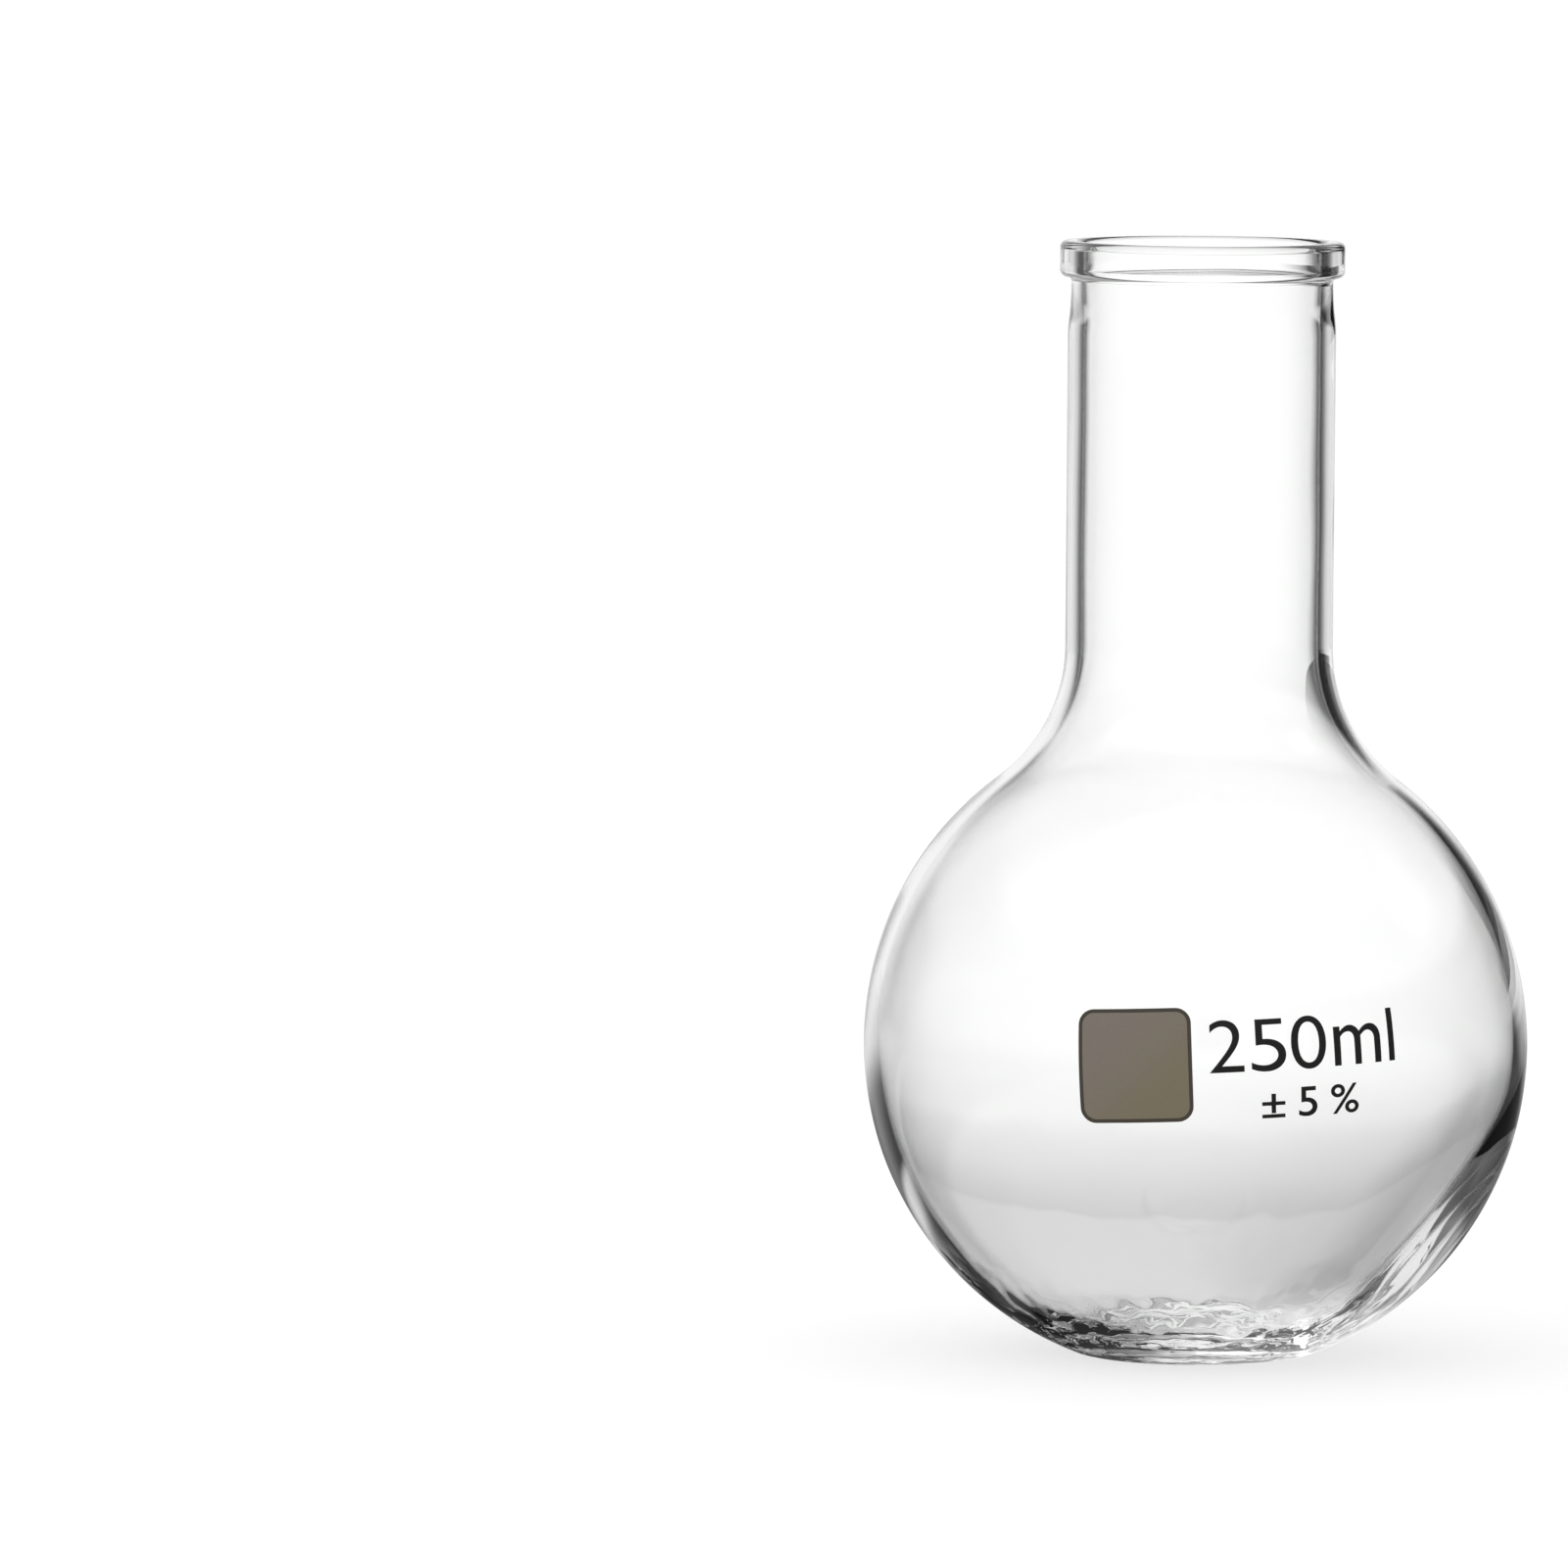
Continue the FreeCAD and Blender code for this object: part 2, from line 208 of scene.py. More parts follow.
class Pen:
    """Draws a half section in edit mode: lines by extrusion, arcs by spinning the last point."""

    ARC_STEP = math.radians(5.0)
    LONGEST_ARC_STEP = 1.0 * MM
    LONGEST_LINE_STEP = 4.0 * MM
    FEWEST_ARC_STEPS = 3

    def __init__(self, name, start):
        bpy.ops.object.select_all(action="DESELECT")
        bpy.ops.mesh.primitive_plane_add(size=MM, location=(start.x, 0, start.y))
        self.piece = bpy.context.object
        self.piece.name = name
        self.place = start
        bpy.ops.object.mode_set(mode="EDIT")
        bpy.ops.mesh.select_mode(type="VERT")
        bpy.ops.mesh.merge(type="CENTER")
        bpy.ops.mesh.select_all(action="SELECT")

    def line(self, end):
        move = end - self.place
        steps = max(1, math.ceil(move.length / self.LONGEST_LINE_STEP))
        for step in range(steps):
            bpy.ops.mesh.extrude_region_move(
                TRANSFORM_OT_translate={"value": (move.x / steps, 0, move.y / steps)})
        self.place = end

    def arc(self, centre, end):
        spoke = self.place - centre
        angle = -spoke.angle_signed(end - centre)
        by_angle = math.ceil(abs(angle) / self.ARC_STEP)
        by_length = math.ceil(abs(angle) * spoke.length / self.LONGEST_ARC_STEP)
        steps = max(self.FEWEST_ARC_STEPS, by_angle, by_length)
        bpy.ops.mesh.spin(steps=steps, angle=angle, center=(centre.x, 0, centre.y), axis=(0, 1, 0))
        self.place = end

    def turn_full(self, segments):
        """Turn the half section about the upright axis into a closed skin."""
        bpy.ops.mesh.select_all(action="SELECT")
        bpy.ops.mesh.spin(steps=segments, angle=2 * math.pi, center=(0, 0, 0), axis=(0, 0, 1))
        bpy.ops.mesh.select_all(action="SELECT")
        bpy.ops.mesh.remove_doubles(threshold=SAME_PLACE)
        bpy.ops.mesh.normals_make_consistent(inside=False)
        bpy.ops.object.mode_set(mode="OBJECT")
        settle(self.piece)
        bpy.ops.object.shade_smooth()
        return self.piece


def spot(radius, height):
    """A point of the half section: distance from the axis, height above the base."""
    return Vector((radius, height))


def towards(start, target, distance):
    """The point that lies a distance from start, on the way to target."""
    return start + (target - start).normalized() * distance


def leg(slope, base):
    """The other leg of a right-angled triangle."""
    return math.sqrt(slope ** 2 - base ** 2)


def centre_between(low, low_distance, high, high_distance):
    """The place beside the axis that lies at given distances from two points on the axis."""
    span = high.y - low.y
    rise = (low_distance ** 2 - high_distance ** 2 + span ** 2) / (2 * span)
    return spot(leg(low_distance, rise), low.y + rise)


def draw_outside(size):
    """Draw the outside of the glass from the middle of the base to the lip."""
    ring_inner = size.ring_radius - size.ring_width
    push_radius = (ring_inner ** 2 + size.push_up ** 2) / (2 * size.push_up) - size.ring_blend_radius
    push_centre = spot(0, size.push_up - push_radius)
    blend_centre = spot(ring_inner, size.ring_blend_radius)
    bulb_centre = spot(0, size.bulb_height)
    heel_centre = spot(size.ring_radius, size.heel_radius)
    pen = Pen("flask_glass", spot(0, size.push_up))
    pen.arc(push_centre, towards(push_centre, blend_centre, push_radius))
    pen.arc(blend_centre, spot(ring_inner, 0))
    pen.line(spot(size.ring_radius, 0))
    pen.arc(heel_centre, towards(bulb_centre, heel_centre, size.bulb_radius))

    reach = size.neck_radius + size.shoulder_radius
    shoulder_centre = spot(reach, size.bulb_height + leg(size.bulb_radius + size.shoulder_radius, reach))
    bead_bottom = size.rim_height - size.bead_height
    waist_radius = size.neck_radius - size.waist_depth
    waist_sweep = size.waist_lower_radius + size.waist_upper_radius
    waist_bottom = bead_bottom - waist_sweep * math.sin(math.acos(1 - size.waist_depth / waist_sweep))
    lower_centre = spot(size.neck_radius - size.waist_lower_radius, waist_bottom)
    upper_centre = spot(waist_radius + size.waist_upper_radius, bead_bottom)
    pen.arc(bulb_centre, towards(bulb_centre, shoulder_centre, size.bulb_radius))
    pen.arc(shoulder_centre, spot(size.neck_radius, shoulder_centre.y))
    pen.line(spot(size.neck_radius, waist_bottom))
    pen.arc(lower_centre, towards(lower_centre, upper_centre, size.waist_lower_radius))
    pen.arc(upper_centre, spot(waist_radius, bead_bottom))

    bead_radius = size.neck_radius + size.bead_projection
    lip = bead_radius - size.bore_radius
    hollow = (bead_radius - waist_radius) * size.hollow_share
    underside = bead_radius - waist_radius - hollow
    outer_round = lip * size.outer_round_share
    side_bottom = bead_bottom + hollow + underside
    pen.arc(spot(waist_radius + hollow, bead_bottom), spot(waist_radius + hollow, bead_bottom + hollow))
    pen.arc(spot(waist_radius + hollow, side_bottom), spot(bead_radius, side_bottom))
    pen.line(spot(bead_radius, size.rim_height - outer_round))
    outer_centre = spot(bead_radius - outer_round, size.rim_height - outer_round)
    pen.arc(outer_centre, spot(outer_centre.x, size.rim_height))
    return pen


def draw_inside(pen, size):
    """Draw the inside of the glass from the lip down to the middle of the floor."""
    lip = size.neck_radius + size.bead_projection - size.bore_radius
    inner_round = lip * size.inner_round_share
    inner_centre = spot(size.bore_radius + inner_round, size.rim_height - inner_round)
    pen.line(spot(inner_centre.x, size.rim_height))
    pen.arc(inner_centre, spot(size.bore_radius, inner_centre.y))

    bulb_radius = size.bulb_radius - size.bulb_wall
    bulb_centre = spot(0, size.bulb_height + size.cavity_rise)
    reach = size.bore_radius + size.inner_shoulder_radius
    shoulder_centre = spot(reach, bulb_centre.y + leg(bulb_radius + size.inner_shoulder_radius, reach))
    pen.line(spot(size.bore_radius, shoulder_centre.y))
    pen.arc(shoulder_centre, towards(bulb_centre, shoulder_centre, bulb_radius))

    ring_inner = size.ring_radius - size.ring_width
    push_radius = (ring_inner ** 2 + size.push_up ** 2) / (2 * size.push_up) - size.ring_blend_radius
    push_centre = spot(0, size.push_up - push_radius)
    floor_radius = push_radius + size.base_wall
    heel_centre = centre_between(
        push_centre, floor_radius + size.inner_heel_radius, bulb_centre, bulb_radius - size.inner_heel_radius)
    pen.arc(bulb_centre, towards(bulb_centre, heel_centre, bulb_radius))
    pen.arc(heel_centre, towards(push_centre, heel_centre, floor_radius))
    pen.arc(push_centre, spot(0, size.push_up + size.base_wall))


def pick(piece, chosen):
    """Select in edit mode the points for which chosen is true."""
    bpy.ops.object.mode_set(mode="EDIT")
    bpy.ops.mesh.select_mode(type="VERT")
    bpy.ops.mesh.select_all(action="DESELECT")
    bpy.ops.object.mode_set(mode="OBJECT")
    for vertex in piece.data.vertices:
        vertex.select = chosen(vertex.co)
    bpy.ops.object.mode_set(mode="EDIT")


def thicken_inside(piece, size, place, depth, reach):
    """Push the inner skin in at one place, fading out all round, so that the wall is thicker there."""
    bulb = Vector((0, 0, size.bulb_height))
    skin = size.bulb_radius - size.bulb_wall / 2
    floor = size.push_up + size.base_wall / 2
    select_only(piece)
    pick(piece, lambda co: (co - bulb).length > skin or co.z < floor)
    bpy.ops.mesh.hide(unselected=False)
    bpy.ops.object.mode_set(mode="OBJECT")
    inner = [vertex for vertex in piece.data.vertices if not vertex.hide]
    nearest = min(inner, key=lambda vertex: (vertex.co - place).length).co.copy()
    pick(piece, lambda co: (co - nearest).length < SAME_PLACE)
    bpy.ops.transform.translate(
        value=(bulb - nearest).normalized() * depth, use_proportional_edit=True,
        proportional_edit_falloff="SMOOTH", proportional_size=reach, use_proportional_connected=True)
    bpy.ops.mesh.reveal(select=False)
    bpy.ops.object.mode_set(mode="OBJECT")


def ripple(piece, name, depth, grain, weight):
    """Press soft unevenness into the points that weight picks, along their normals."""
    group = piece.vertex_groups.new(name=name)
    for vertex in piece.data.vertices:
        amount = weight(vertex.co)
        if amount > 0:
            group.add([vertex.index], min(1.0, amount), "REPLACE")
    clouds = bpy.data.textures.new(name, type="CLOUDS")
    clouds.noise_scale = grain
    clouds.noise_depth = 1
    press = piece.modifiers.new(name, "DISPLACE")
    press.texture = clouds
    press.texture_coords = "LOCAL"
    press.vertex_group = name
    press.mid_level = 0.5
    press.strength = depth
    apply_modifiers(piece)


class Signal:
    """The output of a shader node, so that shader maths reads as Python."""

    def __init__(self, desk, socket):
        self.desk = desk
        self.socket = socket

    def maths(self, operation, *values):
        inputs = dict(enumerate(values))
        return self.desk.node("ShaderNodeMath", {"operation": operation}, inputs)

    def __add__(self, other):
        return self.maths("ADD", self, other)

    def __radd__(self, other):
        return self.maths("ADD", other, self)

    def __sub__(self, other):
        return self.maths("SUBTRACT", self, other)

    def __rsub__(self, other):
        return self.maths("SUBTRACT", other, self)

    def __mul__(self, other):
        return self.maths("MULTIPLY", self, other)

    def __rmul__(self, other):
        return self.maths("MULTIPLY", other, self)

    def __truediv__(self, other):
        return self.maths("DIVIDE", self, other)

    def ramp(self, low, high):
        """From 0 at low to 1 at high, softly."""
        return self.desk.node("ShaderNodeMapRange", {"interpolation_type": "SMOOTHSTEP"},
                              {"Value": self, "From Min": low, "From Max": high}, output="Result")

    def least(self, other):
        return self.maths("MINIMUM", self, other)

    def most(self, other):
        return self.maths("MAXIMUM", self, other)


class Desk:
    """A node tree with one method that adds any node."""

    def __init__(self, tree):
        self.tree = tree
        tree.nodes.clear()

    def node(self, kind, settings=None, inputs=None, output=0):
        node = self.tree.nodes.new(kind)
        for name, value in (settings or {}).items():
            if name == "stops":
                self.set_stops(node.color_ramp, value)
            else:
                setattr(node, name, value)
        for name, value in (inputs or {}).items():
            if isinstance(value, Signal):
                self.tree.links.new(value.socket, node.inputs[name])
            else:
                node.inputs[name].default_value = value
        return Signal(self, node.outputs[output]) if node.outputs else node

    @staticmethod
    def set_stops(ramp, stops):
        """Stops are pairs of a place from 0 to 1 and a grey level."""
        while len(ramp.elements) > 1:
            ramp.elements.remove(ramp.elements[-1])
        for number, (place, level) in enumerate(stops):
            stop = ramp.elements[0] if number == 0 else ramp.elements.new(place)
            stop.position = place
            stop.color = grey(level)

    def blend(self, factor, first, second, kind="MIX"):
        """Mix two colours."""
        return self.node("ShaderNodeMix", {"data_type": "RGBA", "blend_type": kind},
                         {"Factor": factor, 6: first, 7: second}, output=2)

    def noise(self, place, scale, detail):
        return self.node("ShaderNodeTexNoise", None, {"Vector": place, "Scale": scale, "Detail": detail},
                         output="Fac")

    def along(self, place, direction):
        """How far a place lies in a direction."""
        return self.node("ShaderNodeVectorMath", {"operation": "DOT_PRODUCT"}, {0: place, 1: direction},
                         output="Value")

    def relief(self, strength, distance, height):
        """Normals as if the surface stood out by the height."""
        return self.node("ShaderNodeBump", None,
                         {"Strength": strength, "Distance": distance, "Height": height}, output="Normal")

    def mix_shaders(self, factor, first, second):
        return self.node("ShaderNodeMixShader", None, {0: factor, 1: first, 2: second})


def grey(level):
    return (level, level, level, 1)


def new_material(name):
    material = bpy.data.materials.new(name)
    material.use_nodes = True
    return material, Desk(material.node_tree)


def glass_material(size):
    """Clear borosilicate glass with the faint waves of blowing, which lets lamps through."""
    material, desk = new_material("clear_blown_glass")
    place = desk.node("ShaderNodeTexCoord", output="Object")
    waves = desk.noise(place, scale=45.0, detail=1.0)
    glass = desk.node("ShaderNodeBsdfPrincipled", None, {
        "Base Color": (*size.tint, 1),
        "Roughness": 0.0,
        "IOR": 1.473,
        "Transmission Weight": 1.0,
        "Normal": desk.relief(0.02, 2 * MM, waves),
    })
    lamp_ray = desk.node("ShaderNodeLightPath", output="Is Shadow Ray")
    through = desk.node("ShaderNodeBsdfTransparent", None, {"Color": grey(0.9)})
    desk.node("ShaderNodeOutputMaterial", None, {"Surface": desk.mix_shaders(lamp_ray, glass, through)})
    return material


def enamel_material(name, upper_left, lower_right, bulb_height):
    """Fired-on printed colour: grainy, satin, drifting from one tone to the other across the print."""
    material, desk = new_material(name)
    place = desk.node("ShaderNodeTexCoord", output="Object")
    cloud = desk.noise(place, scale=160.0, detail=3.0)
    grain = desk.noise(place, scale=6000.0, detail=2.0)
    slant = desk.along(place, (1, 0, -1)) + bulb_height
    uneven = 4 * MM
    reach = 8 * MM
    drift = (slant + uneven * (cloud - 0.5)).ramp(-reach, reach)
    tone = desk.blend(drift, (*upper_left, 1), (*lower_right, 1))
    enamel = desk.node("ShaderNodeBsdfPrincipled", None, {
        "Base Color": desk.blend(0.25 * grain, tone, grey(0.3), "MULTIPLY"),
        "Roughness": 0.45 + 0.2 * grain,
        "Specular IOR Level": 0.25,
        "Normal": desk.relief(0.15, 0.02 * MM, grain),
    })
    desk.node("ShaderNodeOutputMaterial", None, {"Surface": enamel})
    return material


def finish_piece(piece, slot, *materials):
    """Give a piece its materials and the flask's body; the slot argument is not used."""
    for material in materials:
        piece.data.materials.append(material)
    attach(piece, "root")


class FLASK_OT_glass(bpy.types.Operator):
    """Blow the glass: draw its half section, turn it and leave the base a little rippled"""

    bl_idname = "flask.glass"
    bl_label = "Blow glass"

    def execute(self, context):
        size = context.scene.flask_glass
        pen = draw_outside(size)
        draw_inside(pen, size)
        piece = pen.turn_full(size.segments)
        bulb = Vector((0, 0, size.bulb_height))
        view = context.scene.flask_studio.azimuth
        right = Vector((math.cos(view), math.sin(view), 0))
        low_right = right * size.thick_side_aside - Vector((0, 0, size.thick_side_below))
        thicken_inside(piece, size, Vector((0, 0, 0)), size.floor_rise, size.floor_rise_reach)
        thicken_inside(
            piece, size, bulb + low_right * size.bulb_radius, size.thick_side, size.thick_side_reach)
        floor = size.push_up + size.base_wall / 2
        skin = size.bulb_radius - size.bulb_wall / 2

        def inside_low(co):
            if (co - bulb).length > skin or co.z < floor:
                return 0
            return 1 - co.z / size.ripple_top

        def mostly_low(co):
            return size.wander_low * inside_low(co) + size.wander_elsewhere

        ripple(piece, "floor_ripple", size.ripple, size.ripple_grain, inside_low)
        ripple(piece, "wall_wander", size.wander, size.wander_grain, mostly_low)
        finish_piece(piece, "clear_glass", glass_material(size))
        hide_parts("flask")
        return {"FINISHED"}


def slice_evenly(piece, step=0.8 * MM):
    """Cut the faces of a flat mark into strips both ways, so that they can bend."""
    for axis in (0, 2):
        places = [vertex.co[axis] for vertex in piece.data.vertices]
        low = min(places)
        cuts = math.floor((max(places) - low) / step)
        for cut in range(1, cuts + 1):
            point = [0, 0, 0]
            point[axis] = low + cut * step
            normal = [0, 0, 0]
            normal[axis] = 1
            bpy.ops.mesh.select_all(action="SELECT")
            bpy.ops.mesh.bisect(plane_co=point, plane_no=normal)


def wrap_on_bulb(piece, scene):
    """Slice a flat mark finely, bend it round the bulb, lay it on the glass and give it its thickness."""
    size = scene.flask_glass
    marks = scene.flask_print
    piece.rotation_euler.y = -marks.tilt
    piece.location.z = marks.rise
    settle(piece)
    bpy.ops.object.mode_set(mode="EDIT")
    slice_evenly(piece)
    bpy.ops.object.mode_set(mode="OBJECT")
    across = [vertex.co.x for vertex in piece.data.vertices]
    bend = piece.modifiers.new("Bend", "SIMPLE_DEFORM")
    bend.deform_method = "BEND"
    bend.deform_axis = "Z"
    bend.angle = (max(across) - min(across)) / size.bulb_radius
    piece.location = (0, -size.bulb_radius, size.bulb_height)
    lay = piece.modifiers.new("Lay", "SHRINKWRAP")
    lay.target = bpy.data.objects["flask_glass"]
    lay.wrap_method = "NEAREST_SURFACEPOINT"
    lay.wrap_mode = "ABOVE_SURFACE"
    lay.offset = marks.gap
    thick = piece.modifiers.new("Thickness", "SOLIDIFY")
    thick.thickness = marks.thickness
    thick.offset = 1
    apply_modifiers(piece)
    settle(piece)
    bpy.ops.object.shade_smooth_by_angle(angle=SHARP_ANGLE)


class FLASK_OT_patch(bpy.types.Operator):
    """Print the square marking patch with its darker edge"""

    bl_idname = "flask.patch"
    bl_label = "Print marking patch"

    def execute(self, context):
        marks = context.scene.flask_print
        bpy.ops.object.select_all(action="DESELECT")
        bpy.ops.mesh.primitive_plane_add(size=marks.patch_size, rotation=(math.radians(90), 0, 0))
        patch = context.object
        patch.name = "marking_patch"
        settle(patch)
        bpy.ops.object.mode_set(mode="EDIT")
        bpy.ops.mesh.select_all(action="SELECT")
        bpy.ops.mesh.bevel(offset=marks.patch_corner, segments=10, affect="VERTICES")
        bpy.ops.mesh.select_all(action="SELECT")
        bpy.ops.mesh.inset(thickness=marks.patch_rim)
        bpy.ops.object.mode_set(mode="OBJECT")
        middle = max(patch.data.polygons, key=lambda face: face.area)
        for face in patch.data.polygons:
            face.material_index = 0 if face.index == middle.index else 1
        wrap_on_bulb(patch, context.scene)
        height = context.scene.flask_glass.bulb_height
        finish_piece(patch, "grey_enamel",
                     enamel_material("olive_grey_enamel", marks.patch_upper, marks.patch_lower, height),
                     enamel_material("dark_enamel_edge", marks.patch_edge, marks.patch_edge, height))
        return {"FINISHED"}


def print_words(name, cells):
    """Set each sign in its cell, given in mm from the patch's middle, with strokes made bolder or finer."""
    signs = []
    for sign, left, right, foot, head, boldness in cells:
        bpy.ops.object.select_all(action="DESELECT")
        bpy.ops.object.text_add(rotation=(math.radians(90), 0, 0))
        piece = bpy.context.object
        piece.data.body = sign
        piece.data.offset = boldness
        bpy.ops.object.convert(target="MESH")
        settle(piece)
        across = [vertex.co.x for vertex in piece.data.vertices]
        upward = [vertex.co.z for vertex in piece.data.vertices]
        wide = (right - left) * MM / (max(across) - min(across))
        high = (head - foot) * MM / (max(upward) - min(upward))
        piece.scale = (wide, 1, high)
        piece.location = (left * MM - min(across) * wide, 0, foot * MM - min(upward) * high)
        settle(piece)
        signs.append(piece)
    bpy.ops.object.select_all(action="DESELECT")
    for piece in signs:
        piece.select_set(True)
    bpy.context.view_layer.objects.active = signs[0]
    bpy.ops.object.join()
    signs[0].name = name
    return signs[0]


class FLASK_OT_lettering(bpy.types.Operator):
    """Print the capacity and the tolerance beside the patch"""

    bl_idname = "flask.lettering"
    bl_label = "Print lettering"

    def execute(self, context):
        marks = context.scene.flask_print
        height = context.scene.flask_glass.bulb_height
        ink = enamel_material("black_enamel", marks.ink_colour, marks.ink_colour, height)
        for name, cells in (("volume_lettering", VOLUME_CELLS), ("tolerance_lettering", TOLERANCE_CELLS)):
            line = print_words(name, cells)
            wrap_on_bulb(line, context.scene)
            finish_piece(line, "black_enamel", ink)
        return {"FINISHED"}


# Brightness of the studio round the flask, as pairs of degrees to the right of the middle of the
# backdrop and level. Four bright screens stand round it with dark gaps between them, which draw the
# edges of the glass from every side.
BEHIND_GLASS = (
    (-180, 1.14), (-162, 1.14), (-156, 0.03), (-114, 0.03), (-108, 1.14), (-72, 1.14), (-66, 0.03),
    (-22, 0.03), (-16, 1.14), (8, 1.14), (14, 0.5), (18, 0.03), (66, 0.03), (72, 1.14), (108, 1.14),
    (114, 0.03), (156, 0.03), (162, 1.14), (180, 1.14),
)
# What the glass mirrors of the walls: low down, above that, and overhead
MIRRORED_LOW = (
    (-180, 0.85), (-100, 0.8), (-70, 0.5), (-57, 0.04), (-40, 0.04), (-34, 0.5), (-28, 0.9),
    (0, 0.95), (13, 0.9), (19, 0.02), (60, 0.02), (85, 0.05), (125, 0.5), (150, 0.7), (180, 0.85),
)
MIRRORED_HIGH = (
    (-180, 0.9), (-146, 0.82), (-101, 0.63), (-78, 0.4), (-56, 0.45), (-33, 0.6), (-18, 0.15),
    (8, 0.2), (22, 0.75), (45, 0.75), (101, 0.75), (180, 0.9),
)
MIRRORED_TOP = ((-180, 0.95), (-112, 0.76), (-67, 0.6), (-22, 0.8), (22, 0.84), (67, 0.9), (180, 0.95))
# The floor seen through the glass: under the flask, close by, further off, and far away
FLOOR_UNDER = ((-180, 0.85), (180, 0.85))
FLOOR_BEHIND_NEAR = (
    (-180, 1.0), (-30, 1.1), (0, 1.0), (15, 0.85), (30, 0.6), (60, 0.5), (100, 1.0), (180, 1.0),
)
FLOOR_BEHIND = ((-180, 1.0), (180, 1.0))
FLOOR_BEHIND_FAR = (
    (-180, 1.0), (-162, 1.0), (-157, 0.22), (-152, 0.03), (-118, 0.03), (-113, 0.22), (-108, 1.0),
    (-72, 1.0), (-67, 0.22), (-62, 0.03), (-28, 0.03), (-23, 0.22), (-16, 1.0), (16, 1.0),
    (23, 0.22), (28, 0.03), (62, 0.03), (67, 0.22), (72, 1.0), (108, 1.0), (113, 0.22), (118, 0.03),
    (152, 0.03), (157, 0.22), (162, 1.0), (180, 1.0),
)
# The floor mirrored in the glass, from close by to far away
FLOOR_NEAR = (
    (-180, 0.9), (-157, 0.3), (-112, 0.04), (-67, 0.1), (-22, 0.35), (22, 0.83), (67, 1.1),
    (112, 1.1), (180, 1.1),
)
FLOOR_RING = (
    (-180, 0.5), (-157, 0.38), (-112, 0.08), (-67, 0.03), (-22, 0.28), (22, 0.08), (67, 0.7),
    (112, 0.1), (180, 0.5),
)
FLOOR_MIDDLE = (
    (-180, 0.32), (-105, 0.2), (-75, 0.03), (-60, 0.03), (-51, 0.7), (-34, 0.7), (-25, 0.3),
    (-8, 0.12), (12, 0.1), (22, 0.3), (32, 0.1), (45, 0.05), (75, 0.05), (105, 0.14), (180, 0.3),
)
FLOOR_NEXT = (
    (-180, 0.32), (-105, 0.2), (-75, 0.04), (-45, 0.05), (-25, 0.3), (-8, 0.12), (12, 0.1),
    (22, 0.3), (32, 0.1), (45, 0.05), (75, 0.05), (105, 0.14), (180, 0.3),
)
FLOOR_BEYOND = (
    (-180, 0.5), (-100, 0.3), (-60, 0.1), (-45, 0.35), (-30, 0.7), (-20, 0.9), (8, 0.9), (18, 0.65),
    (27, 0.3), (33, 0.03), (75, 0.03), (105, 0.3), (180, 0.5),
)
FLOOR_FAR = (
    (-180, 0.85), (-82, 0.5), (-55, 0.05), (-43, 0.04), (-37, 0.26), (-33, 0.54), (-29, 0.75),
    (-20, 0.9), (-7, 0.95), (-4, 0.12), (4, 0.12), (7, 0.95), (20, 0.9), (29, 0.75), (33, 0.54),
    (37, 0.26), (43, 0.04), (65, 0.03), (100, 0.3), (125, 0.6), (180, 0.85),
)
# Brightness of the floor by metres from the flask, seen through the glass
FLOOR_AWAY = (
    (0.0, 0.73), (0.116, 0.72), (0.121, 0.64), (0.137, 0.68), (0.152, 0.73), (0.167, 0.78),
    (0.183, 0.82), (0.2, 0.86), (0.215, 0.9), (0.24, 1.0), (0.3, 1.05), (0.5, 1.12), (1.0, 1.12),
)
# The upper walls of the studio where they show through one wall of glass only, as under the bead,
# and the sines of the heights between which that tone fades in
BEHIND_BEAD = ((-180, 0.03), (-14, 0.03), (-8, 1.1), (8, 1.1), (14, 0.03), (180, 0.03))
BEHIND_BEAD_FADE = (0.0, 0.1)
# These tones in order, each later one with the start and end of its fading in: for the walls the
# sine of the height, for the floor the metres from the flask
MIRRORED_WALLS = (MIRRORED_LOW, (0.24, 0.34, MIRRORED_HIGH), (0.55, 0.65, MIRRORED_TOP))
MIRRORED_FLOOR = (
    FLOOR_NEAR, (0.025, 0.035, FLOOR_RING), (0.055, 0.07, FLOOR_MIDDLE), (0.085, 0.1, FLOOR_NEXT),
    (0.2, 0.35, FLOOR_BEYOND), (0.6, 0.95, FLOOR_FAR),
)
FLOOR_THROUGH_GLASS = (
    FLOOR_UNDER, (0.0, 0.04, FLOOR_BEHIND_NEAR), (0.15, 0.4, FLOOR_BEHIND), (0.75, 0.92, FLOOR_BEHIND_FAR),
)


def sweep(angle, levels):
    """A level that goes by the angle round the flask."""
    stops = [((degrees + 180) / 360, level) for degrees, level in levels]
    turned = angle / (2 * math.pi) + 0.5
    return angle.desk.node("ShaderNodeValToRGB", {"stops": stops}, {"Fac": turned}, output="Color")


def zones(distance, angle, first, *others):
    """Sweeps that follow each other with the distance."""
    level = sweep(angle, first)
    for start, end, levels in others:
        level = distance.desk.blend(distance.ramp(start, end), level, sweep(angle, levels))
    return level


def way_round(desk, studio, place):
    """The angle of a place or direction, to the right of straight behind the flask."""
    forward = desk.along(place, (-math.sin(studio.azimuth), math.cos(studio.azimuth), 0))
    sideways = desk.along(place, (math.cos(studio.azimuth), math.sin(studio.azimuth), 0))
    return sideways.maths("ARCTAN2", sideways, forward)


def ray_kinds(desk):
    """One where a ray was mirrored, where it came through glass, and where that was one wall only.

    A wall has two surfaces, and a ray that has crossed three is in its second wall.
    """
    mirrored = desk.node("ShaderNodeLightPath", output="Glossy Depth")
    crossed = desk.node("ShaderNodeLightPath", output="Transmission Depth")
    return mirrored.least(1.0), crossed.least(1.0), crossed.maths("LESS_THAN", crossed, 3.0)


